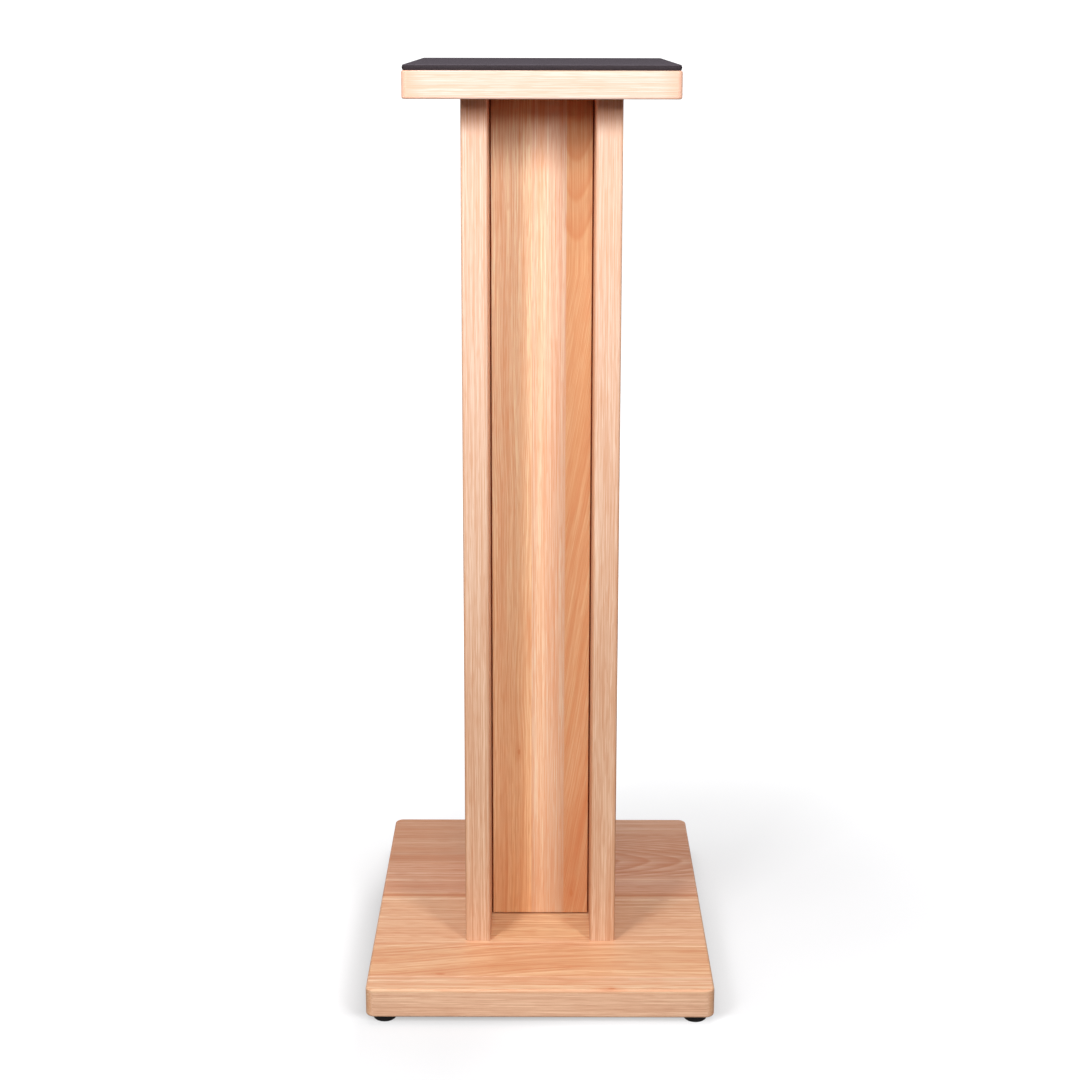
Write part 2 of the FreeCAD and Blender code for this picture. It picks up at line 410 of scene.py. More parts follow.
def base_wood():
    material, tree = new_material("base_wood")
    place, along, across, through = board_axes(tree, "XYZ")
    low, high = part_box("base_plate")
    below_top = between(tree, through, high.z - 0.0032, high.z - 0.0042)
    face = product(tree, below_top, between(tree, across, low.y + 0.0012, low.y + 0.0004))
    swaying = maths(tree, "ADD", across, wander(tree, place, (4.0, 3.0, 1.0), 0.006))
    pale, middle = base_tones(tree, along, across, swaying, face)

    swept_plank = window(tree, across, plank_edges[0], plank_edges[1], 0.0006)
    sweep = product(tree, between(tree, along, -0.185, 0.06), -0.034)
    sweep = maths(tree, "ADD", sweep, wander(tree, place, (7.0, 14.0, 1.0), 0.010))
    swept = maths(tree, "ADD", across, product(tree, sweep, swept_plank))
    figure = base_figure(tree, along, across, swaying, swept, swept_plank)
    wood = use_group(tree, wood_group, {
        "Position": stretched(tree, point(tree, along, swept, through), (1.0, 1.0, 3.4)),
        "Shift": (3.1, 0.4, 1.7), "Wander": 0.003,
        "Lines per metre": maths(tree, "MULTIPLY_ADD", face, 420.0, 320.0),
        "Clouds": 0.6, "Streaks": 0.8, "Fine lines": maths(tree, "MULTIPLY_ADD", face, 0.5, 0.75),
        "Pale": pale, "Middle": middle,
        "Dark": mixed(tree, face, seen(196, 120, 78), seen(190, 136, 105)),
        "Figure": product(tree, figure, maths(tree, "SUBTRACT", 1.0, face)),
    })
    return finish_wood(material, wood)


dress(solids["base_plate"], base_wood())


# ---------------------------------------------------------------------------------------------
# Feet
# Four tapered bumpers of smooth black rubber. Each is held to the underside of the base plate
# by a pan-head screw through a washer in its recess.
# ---------------------------------------------------------------------------------------------

def foot_rubber():
    material, tree = new_material("black_rubber")
    place = object_place(tree)
    grain = noise(tree, stretched(tree, place, (900.0, 900.0, 900.0)), 2.0)
    scuffs = between(tree, noise(tree, stretched(tree, place, (160.0, 160.0, 420.0)), 3.0), 0.55, 0.75)
    return surfaced(material, {
        "Base Color": mixed(tree, product(tree, scuffs, 0.4), seen(20, 19, 21), seen(52, 50, 52)),
        "Roughness": maths(tree, "MULTIPLY_ADD", scuffs, 0.25, 0.28),
        "Normal": bumped(tree, grain, 0.15, 0.0002),
        "Specular IOR Level": 0.5,
    })


rubber = foot_rubber()
for corner in ("front_left", "front_right", "rear_left", "rear_right"):
    dress(solids[f"{corner}_foot"], rubber)


# ---------------------------------------------------------------------------------------------
# Column uprights
# Two boards with straight, even grain that stand on the base plate and carry the top plate.
# Their long edges are eased.
# ---------------------------------------------------------------------------------------------

def painted_light_up_column(tree, along, foot, head, low=-0.10, high=0.95):
    """Colour that changes up the column, from its foot to its head: painted light, paler higher up."""
    return mixed(tree, between(tree, along, low, high), foot, head)


def painted_shade_below_plate(tree, along, colour, tan):
    """Painted shade: darker, warmer tone close below the top plate, where its shadow falls."""
    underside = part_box("top_plate")[0].z
    near_top = between(tree, along, underside - 0.035, underside - 0.004)
    return mixed(tree, near_top, colour, mixed(tree, 1.0, colour, tan, "MULTIPLY"))


def upright_wood(side, shift):
    """Wood of one upright, a little darker on its eased edges and its sides, painted paler up the column
    as painted light and with painted shade close below the top plate.
    """
    material, tree = new_material(f"{side}_upright_wood")
    place, along, across = board_axes(tree, "ZXY")[:3]
    low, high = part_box(f"{side}_upright")
    half_width = (high.x - low.x) / 2
    off_centre = maths(tree, "ABSOLUTE", maths(tree, "SUBTRACT", across, (low.x + high.x) / 2))
    edges = between(tree, off_centre, half_width - 0.0025, half_width - 0.0003)
    wood = use_group(tree, wood_group, {
        "Position": place, "Shift": shift, "Wander": 0.001,
        "Clouds": 0.25, "Streaks": 0.25, "Fine lines": 1.0, "Figure": product(tree, edges, 0.55),
        # Painted light: the wood pales from foot to head.
        "Pale": painted_light_up_column(tree, along, seen(223, 188, 160), seen(247, 222, 204), 0.1, 1.0),
        "Middle": painted_light_up_column(tree, along, seen(208, 168, 138), seen(236, 201, 180), 0.1, 1.0),
        "Dark": painted_light_up_column(tree, along, seen(186, 128, 90), seen(226, 166, 128), 0.1, 1.0),
    })
    # Painted shade close below the top plate.
    return finish_wood(material, wood, painted_shade_below_plate(tree, along, wood["Color"], (0.88, 0.60, 0.46, 1.0)))


for side, shift in [("left", (0.6, 2.3, 5.1)), ("right", (4.2, 7.9, 0.8))]:
    dress(solids[f"{side}_upright"], upright_wood(side, shift))


# ---------------------------------------------------------------------------------------------
# Column panels
# Each board between the uprights is glued up from three staves: a tan one, a pale one and an
# orange one with flat-sawn figure. A narrow rebate round its face leaves a shadow line, and is
# painted dark as painted shade. The staves are painted paler up the column as painted light,
# with painted shade at the foot and close below the top plate.
# ---------------------------------------------------------------------------------------------

glue_lines = [-0.0092, 0.0238]


def panel_tones(tree, along, across):
    """Pale and middle tone of the three staves, painted paler up the column as painted light, with a cream
    line.
    """
    foot_shades = [
        [(250, 204, 154), (233, 204, 173), (237, 188, 144)],
        [(247, 190, 134), (221, 186, 153), (229, 176, 130)],
    ]
    head_shades = [
        [(255, 241, 210), (249, 227, 203), (240, 200, 152)],
        [(255, 230, 192), (241, 208, 182), (232, 178, 125)],
    ]
    tones = []
    # Painted light: each stave pales from its foot shades to its head shades.
    for shades in zip(foot_shades, head_shades):
        foot, head = [staves(tree, across, three, glue_lines) for three in shades]
        tones.append(painted_light_up_column(tree, along, foot, head))
    past_joint = between(tree, across, -0.0095, -0.0085)
    cream = product(tree, band(tree, across, -0.001, 0.008), past_joint, 0.55)
    return toned(tree, cream, tones, [(253, 226, 190), (246, 212, 174)])


def leaning_grain(tree, place, along, across, right_stave):
    """Place across the grain, which leans in the right stave and sways in the left one."""
    below = maths(tree, "MINIMUM", maths(tree, "SUBTRACT", along, 0.70), 0.0)
    lean = maths(tree, "ADD", product(tree, below, -0.17), wander(tree, place, (4.0, 8.0, 1.0), 0.012))
    left_stave = between(tree, across, -0.006, -0.014)
    sway = product(tree, wander(tree, place, (5.0, 14.0, 1.0), 0.010), left_stave)
    aside = maths(tree, "ADD", product(tree, lean, right_stave), sway)
    return maths(tree, "ADD", across, aside)


def panel_figure(tree, place, along, across, leaning, right_stave):
    """Dark figure of the staves: arches high on the right one and thin lines below them, a
    streak at a glue line, a reddish one low down, two faint ones and two knots."""
    arches = use_group(tree, arch_group, {
        "Along": along, "Across": across, "Tip": 0.729, "Middle": 0.0335, "Bend": 120.0,
        "Spacing": 0.038, "Wobble": 0.022, "Sharpness": 1.6,
    })
    high_right = product(tree, window(tree, along, 0.722, 0.850, 0.01), right_stave)
    low_right = product(tree, between(tree, along, 0.74, 0.60), right_stave)
    thin = noise(tree, point(tree, along, product(tree, leaning, 190.0)), 0.0)
    swaying = maths(tree, "ADD", across, wander(tree, place, (3.5, 12.0, 1.0), 0.010))
    return strongest(tree, [
        product(tree, arches["Lines"], high_right, 0.85),
        product(tree, between(tree, thin, 0.60, 0.68), low_right, 0.35),
        product(tree, band(tree, across, -0.0118, 0.0026), window(tree, along, 0.315, 0.372, 0.02), 0.6),
        product(tree, band(tree, leaning, 0.137, 0.007), window(tree, along, 0.10, 0.19, 0.03), 0.75),
        *streak_masks(tree, swaying, [(-0.036, 0.007, 0.30), (-0.018, 0.006, 0.16)]),
        *knot_masks(tree, along, across, [(0.214, -0.022, 0.0022), (0.060, 0.032, 0.003)]),
    ])


def panel_wood(name, shift, flip):
    """Wood of one panel; flip is -1 where the staves run the other way round."""
    material, tree = new_material(name)
    place, along, across, through = board_axes(tree, "ZXY")
    across = product(tree, across, flip)
    pale, middle = panel_tones(tree, along, across)
    right_stave = between(tree, across, 0.0230, 0.0246)
    leaning = leaning_grain(tree, place, along, across, right_stave)
    wood = use_group(tree, wood_group, {
        "Position": point(tree, along, leaning, through), "Shift": shift, "Wander": 0.004,
        "Clouds": 0.6, "Streaks": 0.5, "Fine lines": 0.8,
        "Pale": pale, "Middle": middle, "Dark": seen(222, 145, 95),
        "Figure": panel_figure(tree, place, along, across, leaning, right_stave),
    })
    # Painted shade close below the top plate.
    colour = painted_shade_below_plate(tree, along, wood["Color"], (0.72, 0.49, 0.34, 1.0))
    # Painted shade: the panel darkens towards its foot, in the recess above the base.
    painted_foot_shade = mixed(tree, 1.0, colour, (0.86, 0.80, 0.76, 1.0), "MULTIPLY")
    colour = mixed(tree, between(tree, along, 0.20, 0.05), colour, painted_foot_shade)
    # Painted shade: the rebate round the panel's edges is painted dark.
    half_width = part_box("front_panel")[1].x
    off_centre = maths(tree, "ABSOLUTE", across)
    painted_rebate_shade = between(tree, off_centre, half_width - 0.0018, half_width - 0.0013)
    return finish_wood(material, wood, mixed(tree, painted_rebate_shade, colour, seen(168, 84, 50)))


dress(solids["front_panel"], panel_wood("front_panel_wood", (1.4, 3.3, 0.2), 1.0))
dress(solids["rear_panel"], panel_wood("rear_panel_wood", (6.8, 0.9, 2.5), -1.0))


# ---------------------------------------------------------------------------------------------
# Dowels
# Fluted beech pins with chamfered ends, glued into the boards where they meet. The flutes let
# the glue rise along the pin.
# ---------------------------------------------------------------------------------------------

def dowel_wood(name, order):
    material, tree = new_material(name)
    place = board_axes(tree, order)[0]
    wood = use_group(tree, wood_group, {
        "Position": place, "Shift": (1.0, 1.0, 1.0), "Wander": 0.001,
        "Streaks": 0.6, "Fine lines": 0.6,
        "Pale": seen(232, 205, 170), "Middle": seen(222, 188, 150), "Dark": seen(180, 135, 95),
    })
    return finish_wood(material, wood)


def geometry_tree(name, sizes):
    """Geometry Nodes tree with named sizes; returns it with its inner ends."""
    tree = bpy.data.node_groups.new(name, "GeometryNodeTree")
    for label, kind in {"Places": "Geometry", "Material": "Material", "Turn": "Vector"}.items():
        tree.interface.new_socket(label, in_out="INPUT", socket_type=f"NodeSocket{kind}")
    for label, value in sizes.items():
        kind = "NodeSocketInt" if isinstance(value, int) else "NodeSocketFloat"
        tree.interface.new_socket(label, in_out="INPUT", socket_type=kind).default_value = value
    tree.interface.new_socket("Pieces", in_out="OUTPUT", socket_type="NodeSocketGeometry")
    entry = tree.nodes.new("NodeGroupInput")
    end = tree.nodes.new("NodeGroupOutput")
    return tree, entry.outputs, end.inputs


def put_in_places(tree, given, end, shape):
    """One copy of the shape on every place, turned, made real and given its material."""
    copies = add(tree, "GeometryNodeInstanceOnPoints", {"Points": given["Places"], "Instance": shape})
    turn = add(tree, "FunctionNodeEulerToRotation", {0: given["Turn"]}).outputs[0]
    tree.links.new(turn, copies.inputs["Rotation"])
    real = add(tree, "GeometryNodeRealizeInstances", {0: copies.outputs[0]}).outputs[0]
    coated = add(tree, "GeometryNodeSetMaterial", {"Geometry": real, "Material": given["Material"]})
    tree.links.new(coated.outputs[0], end["Pieces"])


def along_axis(tree, length, rings):
    """Straight line down from the origin, with its rings, and each ring's distance on it."""
    bottom = point(tree, 0.0, 0.0, product(tree, length, -1.0))
    ends = {"Start": (0.0, 0.0, 0.0), "End": bottom}
    line = add(tree, "GeometryNodeCurvePrimitiveLine", ends).outputs[0]
    line = add(tree, "GeometryNodeResampleCurve", {"Curve": line, "Count": rings}).outputs[0]
    return line, add(tree, "GeometryNodeSplineParameter").outputs["Length"]


def made_by(tree, name, node, slot, places, material, turn=(0.0, 0.0, 0.0), **sizes):
    """Plain mesh of one tree's pieces, in the place of a CAD node."""
    points = bpy.data.meshes.new(name)
    points.from_pydata(places, [], [])
    source = bpy.data.objects.new(name, points)
    bpy.context.scene.collection.objects.link(source)
    modifier = source.modifiers.new(name, "NODES")
    modifier.node_group = tree
    values = {key.replace("_", " "): size for key, size in sizes.items()}
    values.update({"Material": material, "Turn": turn})
    for item in tree.interface.items_tree:
        if item.in_out == "INPUT" and item.name in values:
            modifier[item.identifier] = values[item.name]
    evaluated = source.evaluated_get(bpy.context.evaluated_depsgraph_get())
    mesh = bpy.data.meshes.new_from_object(evaluated)
    source.modifiers.remove(modifier)
    source.data = mesh
    dress(source, material)
    bpy.data.meshes.remove(points)
    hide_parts(node)
    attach(source, "root")


def make_dowel_tree():
    """Fluted pin, centred on its place, with chamfered ends."""
    sizes = {
        "Length": 0.040, "Radius": 0.00399, "Groove": 0.0003, "Flutes": 16, "Rings": 41,
        "Chamfer": 0.001,
    }
    tree, given, end = geometry_tree("dowels", sizes)
    line, distance = along_axis(tree, given["Length"], given["Rings"])
    to_end = maths(tree, "MINIMUM", distance, maths(tree, "SUBTRACT", given["Length"], distance))
    share = maths(tree, "MINIMUM", maths(tree, "DIVIDE", to_end, given["Chamfer"]), 1.0)
    inner = maths(tree, "SUBTRACT", given["Radius"], given["Groove"])
    fluted = add(tree, "GeometryNodeCurveStar", {
        "Points": given["Flutes"], "Inner Radius": inner, "Outer Radius": given["Radius"],
    }).outputs[0]
    pin = add(tree, "GeometryNodeCurveToMesh", {
        "Curve": line, "Profile Curve": fluted,
        "Scale": maths(tree, "MULTIPLY_ADD", share, 0.25, 0.75), "Fill Caps": True,
    }).outputs[0]
    up = point(tree, 0.0, 0.0, product(tree, given["Length"], 0.5))
    pin = add(tree, "GeometryNodeTransform", {"Geometry": pin, "Translation": up}).outputs[0]
    put_in_places(tree, given, end, pin)
    return tree


dowel_tree = make_dowel_tree()
upright_dowels = dowel_wood("end_dowel_wood", "ZXY")
cross_dowels = dowel_wood("panel_dowel_wood", "XYZ")
dowel_radius = 0.004
dowel_row = 0.04125
for name in ("base_dowels", "top_dowels"):
    low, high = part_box(name)
    column, middle = high.x - dowel_radius, (low.z + high.z) / 2
    places = [(x, y, middle) for x in (-column, column) for y in (-dowel_row, dowel_row)]
    made_by(dowel_tree, f"fluted_{name}", name, "dowel_wood", places, upright_dowels)

panel_dowel_length = 0.035
dowels_high = 5
quarter_turn = (0.0, math.pi / 2, 0.0)
for name in ("front_panel_dowels", "rear_panel_dowels"):
    low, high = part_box(name)
    column, depth = high.x - panel_dowel_length / 2, (low.y + high.y) / 2
    first, last = low.z + dowel_radius, high.z - dowel_radius
    heights = [first + (last - first) * step / (dowels_high - 1) for step in range(dowels_high)]
    places = [(x, depth, height) for x in (-column, column) for height in heights]
    made_by(
        dowel_tree, f"fluted_{name}", name, "dowel_wood", places, cross_dowels, quarter_turn,
        Length=panel_dowel_length, Rings=36,
    )


# ---------------------------------------------------------------------------------------------
# Screws and washers
# Yellow-zinc steel wood screws with cross recesses hold the boards, and pan-head screws with
# washers hold the feet.
# ---------------------------------------------------------------------------------------------

def screw_steel():
    material, tree = new_material("zinc_plated_steel")
    place = object_place(tree)
    tarnish = between(tree, noise(tree, stretched(tree, place, (260.0, 260.0, 260.0)), 3.0), 0.4, 0.7)
    scratches = noise(tree, stretched(tree, place, (2600.0, 500.0, 900.0)), 2.0)
    return surfaced(material, {
        "Base Color": mixed(tree, tarnish, seen(208, 196, 150), seen(176, 160, 120)),
        "Metallic": 1.0,
        "Roughness": maths(tree, "MULTIPLY_ADD", tarnish, 0.15, 0.28),
        "Normal": bumped(tree, scratches, 0.2, 0.0001),
    })


def screw_body(tree, given):
    """Head, shank and tip in one, turned round the axis."""
    tip_share = 0.05
    line, distance = along_axis(tree, given["Length"], given["Rings"])
    left = maths(tree, "SUBTRACT", given["Length"], distance)
    past_edge = maths(tree, "MAXIMUM", maths(tree, "SUBTRACT", distance, given["Head edge"]), 0.0)
    narrowing = maths(tree, "SUBTRACT", given["Head radius"], given["Shank radius"])
    narrowing = product(tree, past_edge, maths(tree, "DIVIDE", narrowing, given["Cone"]))
    head = maths(tree, "SUBTRACT", given["Head radius"], narrowing)
    eased = maths(tree, "SUBTRACT", given["Head radius"], given["Head ease"])
    head = maths(tree, "MINIMUM", head, maths(tree, "ADD", eased, distance))
    to_tip = maths(tree, "MINIMUM", maths(tree, "DIVIDE", left, given["Tip"]), 1.0)
    to_tip = maths(tree, "MAXIMUM", to_tip, tip_share)
    threaded = maths(tree, "LESS_THAN", left, given["Threaded"])
    thinner = maths(tree, "SUBTRACT", given["Shank radius"], given["Core radius"])
    stem = maths(tree, "SUBTRACT", given["Shank radius"], product(tree, threaded, thinner))
    ring = add(tree, "GeometryNodeCurvePrimitiveCircle", {"Resolution": given["Sides"], "Radius": 1.0})
    return add(tree, "GeometryNodeCurveToMesh", {
        "Curve": line, "Profile Curve": ring.outputs[0], "Fill Caps": True,
        "Scale": maths(tree, "MAXIMUM", head, product(tree, stem, to_tip)),
    }).outputs[0]


def with_recess(tree, given, body):
    """The body with a cross for the driver cut into its head."""
    height = product(tree, given["Drive depth"], 2.0)
    for width, depth in [("Drive span", "Drive slot"), ("Drive slot", "Drive span")]:
        size = point(tree, given[width], given[depth], height)
        pair = {"Mesh 1": body, "Mesh 2": add(tree, "GeometryNodeMeshCube", {"Size": size}).outputs[0]}
        cut = add(tree, "GeometryNodeMeshBoolean", pair, operation="DIFFERENCE", solver="EXACT")
        body = cut.outputs[0]
    return body


def screw_thread(tree, given):
    """Ridge that winds round the core and is drawn in towards the tip."""
    above_tip = 0.0012
    run = maths(tree, "SUBTRACT", given["Threaded"], given["Pitch"])
    reach = maths(tree, "SUBTRACT", given["Thread radius"], given["Ridge"])
    helix = add(tree, "GeometryNodeCurveSpiral", {
        "Resolution": given["Sides"], "Rotations": maths(tree, "DIVIDE", run, given["Pitch"]),
        "Start Radius": reach, "End Radius": reach, "Height": run,
    }).outputs[0]
    helix = add(tree, "GeometryNodeSetCurveNormal", {"Curve": helix}, mode="Z_UP").outputs[0]
    place = add(tree, "GeometryNodeInputPosition").outputs[0]
    rise = maths(tree, "ADD", add(tree, "ShaderNodeSeparateXYZ", {0: place}).outputs[2], above_tip)
    pinch = maths(tree, "MINIMUM", maths(tree, "DIVIDE", rise, given["Tip"]), 1.0)
    pinched = stretched(tree, place, point(tree, pinch, pinch, 1.0))
    helix = add(tree, "GeometryNodeSetPosition", {"Geometry": helix, "Position": pinched}).outputs[0]
    down = point(tree, 0.0, 0.0, maths(tree, "SUBTRACT", above_tip, given["Length"]))
    helix = add(tree, "GeometryNodeTransform", {"Geometry": helix, "Translation": down}).outputs[0]
    edge = add(tree, "GeometryNodeCurvePrimitiveCircle", {"Resolution": 4, "Radius": given["Ridge"]})
    return add(tree, "GeometryNodeCurveToMesh", {
        "Curve": helix, "Profile Curve": edge.outputs[0], "Fill Caps": True,
    }).outputs[0]


def make_screw_tree():
    """Screw, head up at its place and tip down, with a rolled thread and a cross recess."""
    sizes = {
        "Length": 0.070, "Rings": 141, "Sides": 20, "Head radius": 0.00599, "Head edge": 0.0006,
        "Head ease": 0.0, "Cone": 0.003, "Shank radius": 0.0028, "Core radius": 0.0021,
        "Thread radius": 0.00295, "Threaded": 0.044, "Pitch": 0.0022, "Ridge": 0.00075, "Tip": 0.006,
        "Drive span": 0.006, "Drive slot": 0.0016, "Drive depth": 0.003,
    }
    tree, given, end = geometry_tree("screws", sizes)
    joined = tree.nodes.new("GeometryNodeJoinGeometry")
    for part in (with_recess(tree, given, screw_body(tree, given)), screw_thread(tree, given)):
        tree.links.new(part, joined.inputs[0])
    put_in_places(tree, given, end, joined.outputs[0])
    return tree


steel = screw_steel()
screw_tree = make_screw_tree()
head_down = (math.pi, 0.0, 0.0)
head_up = (0.0, 0.0, 0.0)
head_radius = 0.006
screw_row = 0.0825
for name, turn in [("base_screws", head_down), ("top_screws", head_up)]:
    low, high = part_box(name)
    column = high.x - head_radius
    face = low.z if turn == head_down else high.z
    places = [(x, y, face) for x in (-column, column) for y in (-screw_row, 0.0, screw_row)]
    made_by(screw_tree, f"threaded_{name}", name, "screw_steel", places, steel, turn)

foot_x, foot_y = 0.150, 0.2075
low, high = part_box("foot_screws")
places = [(x, y, low.z) for x in (-foot_x, foot_x) for y in (-foot_y, foot_y)]
made_by(
    screw_tree, "threaded_foot_screws", "foot_screws", "screw_steel", places, steel, head_down,
    Length=high.z - low.z, Rings=113, Head_radius=0.00374, Head_edge=0.0022, Head_ease=0.0008,
    Cone=0.0002, Shank_radius=0.0019, Core_radius=0.0014, Thread_radius=0.00198, Threaded=0.0185,
    Pitch=0.0014, Ridge=0.0005, Tip=0.004, Drive_span=0.004, Drive_slot=0.0011, Drive_depth=0.0015,
)
dress(solids["foot_washers"], steel)


# ---------------------------------------------------------------------------------------------
# Top plate
# Board of paler, finer wood with its grain from left to right, screwed down on the uprights.
# ---------------------------------------------------------------------------------------------

def top_wood():
    """Pale wood, a little warmer towards both ends."""
    material, tree = new_material("top_wood")
    place, along = board_axes(tree, "XYZ")[:2]
    half_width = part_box("top_plate")[1].x
    ends = between(tree, maths(tree, "ABSOLUTE", along), half_width - 0.025, half_width)
    wood = use_group(tree, wood_group, {
        "Position": place, "Shift": (2.2, 5.0, 3.6), "Wander": 0.004,
        "Clouds": 0.25, "Streaks": 0.2, "Fine lines": 1.0,
        "Pale": mixed(tree, ends, seen(240, 210, 197), seen(240, 190, 168)),
        "Middle": mixed(tree, ends, seen(236, 208, 194), seen(230, 178, 154)),
        "Dark": seen(226, 174, 144),
    })
    return finish_wood(material, wood)


dress(solids["top_plate"], top_wood())


# ---------------------------------------------------------------------------------------------
# Pad
# Sheet of dense charcoal foam with a felted face, cut flush with the top plate and glued to
# it. It keeps the speaker from sliding and from scratching the wood.
# ---------------------------------------------------------------------------------------------

def pad_felt():
    """Charcoal fibres, lighter on the face than on the cut edge."""
    material, tree = new_material("pad_felt")
    place = object_place(tree)
    fibres = noise(tree, stretched(tree, place, (1400.0, 1400.0, 1400.0)), 3.0, 0.7)
    light = between(tree, fibres, 0.3, 0.75)
    patches = noise(tree, stretched(tree, place, (70.0, 70.0, 300.0)), 2.0)
    height = add(tree, "ShaderNodeSeparateXYZ", {0: place}).outputs["Z"]
    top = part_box("top_pad")[1].z
    cut_edge = mixed(tree, light, seen(42, 37, 40), seen(72, 64, 68))
    face = mixed(tree, light, seen(76, 70, 76), seen(102, 95, 102))
    colour = mixed(tree, between(tree, height, top - 0.0009, top - 0.0001), cut_edge, face)
    return surfaced(material, {
        "Base Color": mixed(tree, product(tree, patches, 0.3), colour, seen(62, 56, 60)),
        "Roughness": 0.95,
        "Normal": bumped(tree, fibres, 0.6, 0.0004),
        "Specular IOR Level": 0.0,
    })


def pad_mesh():
    """Flat pad with softly rounded upper edges and very slightly bulging sides, as rings that
    each have a height above the underside and an inset."""
    low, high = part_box("top_pad")
    corner = 0.0055
    swell = 0.0004
    levels = [
        (0.0, 0.0006), (0.0008, 0.0), (0.0025, -swell), (0.0041, 0.0), (0.0047, 0.0003), (0.0050, 0.0009),
    ]
    steps = 8
    half_x = (high.x - low.x) / 2 - swell
    half_y = (high.y - low.y) / 2 - swell
    mesh = bmesh.new()
    rings = []
    for rise, inset in levels:
        ring = []
        for quarter in range(4):
            side_x = 1 if quarter in (0, 3) else -1
            side_y = 1 if quarter in (0, 1) else -1
            for step in range(steps + 1):
                angle = math.pi / 2 * (quarter + step / steps)
                x = side_x * (half_x - corner) + (corner - inset) * math.cos(angle)
                y = side_y * (half_y - corner) + (corner - inset) * math.sin(angle)
                ring.append(mesh.verts.new((x, y, low.z + rise)))
        rings.append(ring)
    for lower, upper in zip(rings, rings[1:]):
        for index in range(len(lower)):
            following = (index + 1) % len(lower)
            mesh.faces.new((lower[index], lower[following], upper[following], upper[index]))
    mesh.faces.new(list(reversed(rings[0])))
    mesh.faces.new(rings[-1])
    data = bpy.data.meshes.new("pad")
    mesh.to_mesh(data)
    mesh.free()
    return data


pad = bpy.data.objects.new("speaker_pad", pad_mesh())
bpy.context.scene.collection.objects.link(pad)
dress(pad, pad_felt())
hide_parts("top_pad")
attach(pad, "root")


# ---------------------------------------------------------------------------------------------
# Studio
# Pale floor that glows and brightens away from the stand; its dimmer part near the stand is
# painted shade. Softboxes stand in front of it, high on the left, overhead and at both sides, in a
# white surround.
# ---------------------------------------------------------------------------------------------

def distance_from(tree, place, centre):
    to_centre = moved(tree, place, [-value for value in centre])
    return add(tree, "ShaderNodeVectorMath", {0: to_centre}, operation="LENGTH").outputs["Value"]


def floor_shade(tree, axes):
    """Painted shade on the floor, as the share of light that it shows: less close to the base on its
    left and wherever the stand is near, as under it, and a little more in front of it, as painted
    light."""
    side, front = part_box("base_plate")[1].x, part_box("base_plate")[0].y
    beside = maths(tree, "SUBTRACT", maths(tree, "ABSOLUTE", axes["X"]), side)
    not_behind = between(tree, axes["Y"], 0.20, 0.05)
    on_the_left = between(tree, axes["X"], 0.1, -0.1)
    side_shade = product(tree, between(tree, beside, 0.050, 0.0), not_behind, on_the_left)
    shade = maths(tree, "MULTIPLY_ADD", side_shade, -0.20, 1.0)
    nearby = add(tree, "ShaderNodeAmbientOcclusion", {"Distance": 0.08}, samples=8).outputs["AO"]
    in_front = between(tree, axes["Y"], front + 0.030, front + 0.010)
    contact = mixed(tree, in_front, between(tree, nearby, -0.8, 1.0), (1.06, 1.06, 1.06, 1.0))
    return maths(tree, "MULTIPLY", shade, contact)


def floor_paint():
    """White paint that gives off some light of its own. It throws less light back on the stand
    than it shows, except close in front of the base."""
    material, tree = new_material("floor_paint")
    place = object_place(tree)
    shade = floor_shade(tree, add(tree, "ShaderNodeSeparateXYZ", {0: place}).outputs)
    # Painted shade: the floor's own glow is weaker close to the stand.
    away = between(tree, distance_from(tree, place, (0.15, 0.0, 0.0)), 0.15, 1.0)
    glow = maths(tree, "MULTIPLY_ADD", away, 0.45, 0.60)
    seen_directly = add(tree, "ShaderNodeLightPath").outputs["Is Camera Ray"]
    near_front = between(tree, distance_from(tree, place, (0.0, -0.36, 0.0)), 0.30, 0.12)
    bounce = mixed(tree, near_front, seen(75, 75, 75), seen(165, 163, 162))
    bare = add(tree, "ShaderNodeCombineColor", {0: shade, 1: shade, 2: shade}).outputs[0]
    bare = mixed(tree, 1.0, bare, (0.36, 0.36, 0.37, 1.0), "MULTIPLY")
    return surfaced(material, {
        "Base Color": mixed(tree, seen_directly, bounce, bare),
        "Roughness": 0.9, "Specular IOR Level": 0.0,
        "Emission Color": (1.0, 1.0, 1.0, 1.0),
        "Emission Strength": product(tree, glow, shade, seen_directly),
    })


def floor():
    half_width = 12.0
    signs = [(-1, -1), (1, -1), (1, 1), (-1, 1)]
    data = bpy.data.meshes.new("floor")
    data.from_pydata([(half_width * x, half_width * y, 0) for x, y in signs], [], [(0, 1, 2, 3)])
    piece = bpy.data.objects.new("floor", data)
    bpy.context.scene.collection.objects.link(piece)
    dress(piece, floor_paint())
    piece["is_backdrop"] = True


def softbox(name, place, target, width, height, power):
    """Rectangular lamp of so many watts, aimed at the target, and not in the picture itself."""
    data = bpy.data.lights.new(name, "AREA")
    data.shape = "RECTANGLE"
    data.size = width
    data.size_y = height
    data.energy = power
    lamp = bpy.data.objects.new(name, data)
    bpy.context.scene.collection.objects.link(lamp)
    lamp.location = place
    lamp.visible_camera = False
    lamp.rotation_euler = (Vector(target) - Vector(place)).to_track_quat("-Z", "Y").to_euler()


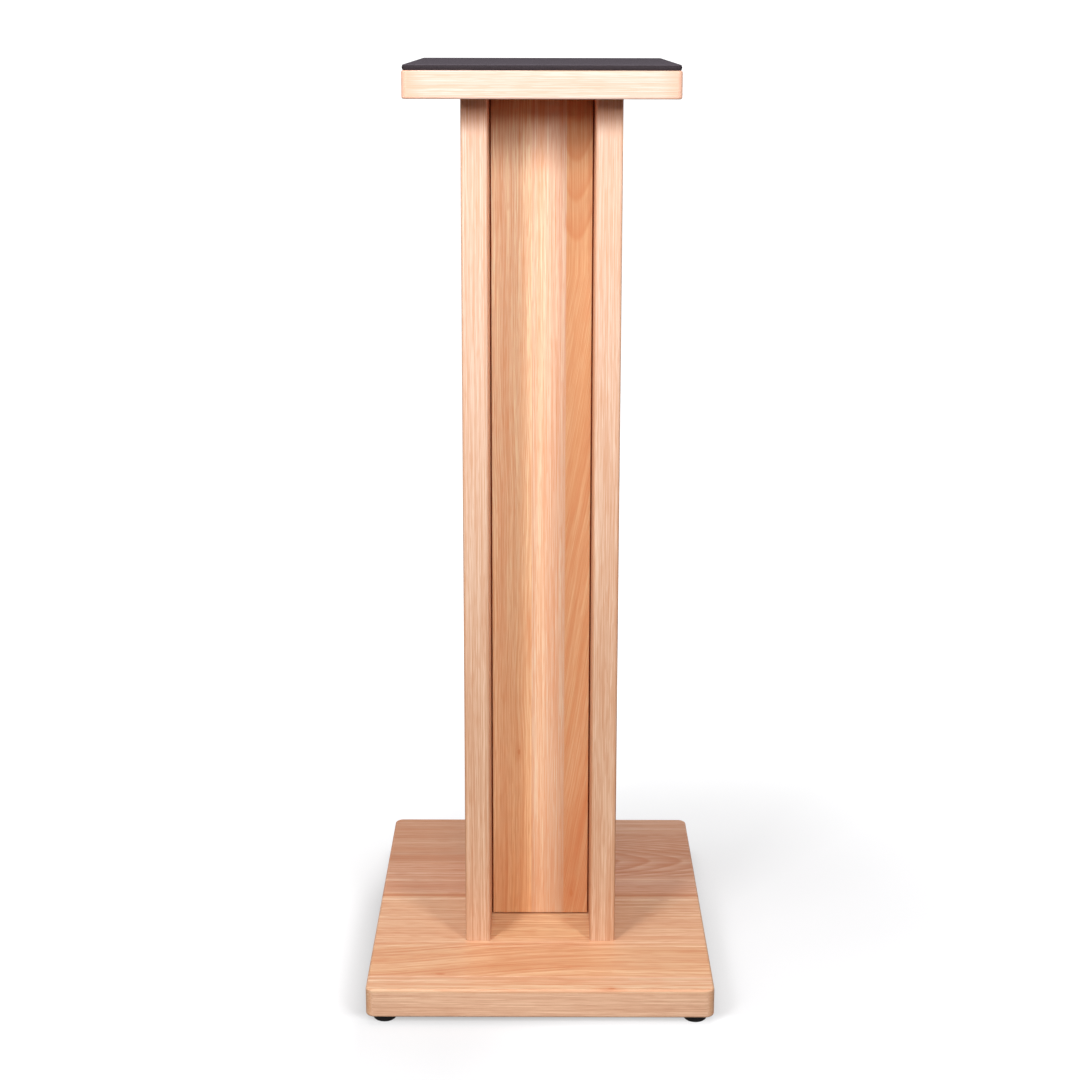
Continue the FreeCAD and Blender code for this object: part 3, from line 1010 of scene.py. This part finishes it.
def surround():
    world = bpy.data.worlds.new("surround")
    world.use_nodes = True
    tree = world.node_tree
    tree.nodes.clear()
    path = add(tree, "ShaderNodeLightPath").outputs
    strength = maths(tree, "MULTIPLY_ADD", path["Is Glossy Ray"], 0.5, 0.035)
    strength = maths(tree, "MAXIMUM", maths(tree, "MULTIPLY", path["Is Camera Ray"], 1.2), strength)
    light = add(tree, "ShaderNodeBackground", {"Color": (1.0, 1.0, 1.0, 1.0), "Strength": strength})
    add(tree, "ShaderNodeOutputWorld", {"Surface": light.outputs[0]})
    bpy.context.scene.world = world


def camera():
    """Camera of the photograph: long lens, in front, looking down a little."""
    focal_length, sensor = 71.2, 36.0
    tilt = math.radians(13.687)
    turn = math.radians(0.062)
    roll = math.radians(0.110)
    data = bpy.data.cameras.new("camera")
    data.lens = focal_length
    data.sensor_width = sensor
    data.sensor_fit = "HORIZONTAL"
    piece = bpy.data.objects.new("camera", data)
    bpy.context.scene.collection.objects.link(piece)
    stand_off = Matrix.Translation((0.0012, -2.1078, 0.9385))
    swing = Matrix.Rotation(turn, 4, "Z") @ Matrix.Rotation(math.pi / 2 - tilt, 4, "X")
    piece.matrix_world = stand_off @ swing @ Matrix.Rotation(roll, 4, "Z")
    bpy.context.scene.camera = piece


floor()
softbox("left_softbox", (-1.00, -1.86, 1.45), (0.0, -0.1, 0.6), 0.42, 0.70, 28.5)
softbox("right_softbox", (1.00, -1.86, 1.45), (0.0, -0.1, 0.6), 0.42, 0.70, 25.0)
softbox("front_softbox", (0.0, -1.95, 1.70), (0.0, -0.1, 0.7), 0.5, 0.5, 9.5)
softbox("high_softbox", (-1.16, -1.35, 2.1), (0.0, 0.0, 0.3), 0.6, 0.6, 10.5)
softbox("overhead_softbox", (0.0, 0.2, 2.8), (0.0, 0.1, 0.0), 2.0, 2.0, 34.0)
softbox("left_side_softbox", (-1.9, -0.5, 0.9), (0.0, 0.0, 0.5), 0.8, 1.4, 8.0)
softbox("right_side_softbox", (1.9, -0.5, 0.9), (0.0, 0.0, 0.5), 0.8, 1.4, 7.0)
surround()
camera()
bpy.context.scene.view_settings.view_transform = "Standard"

low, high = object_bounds()
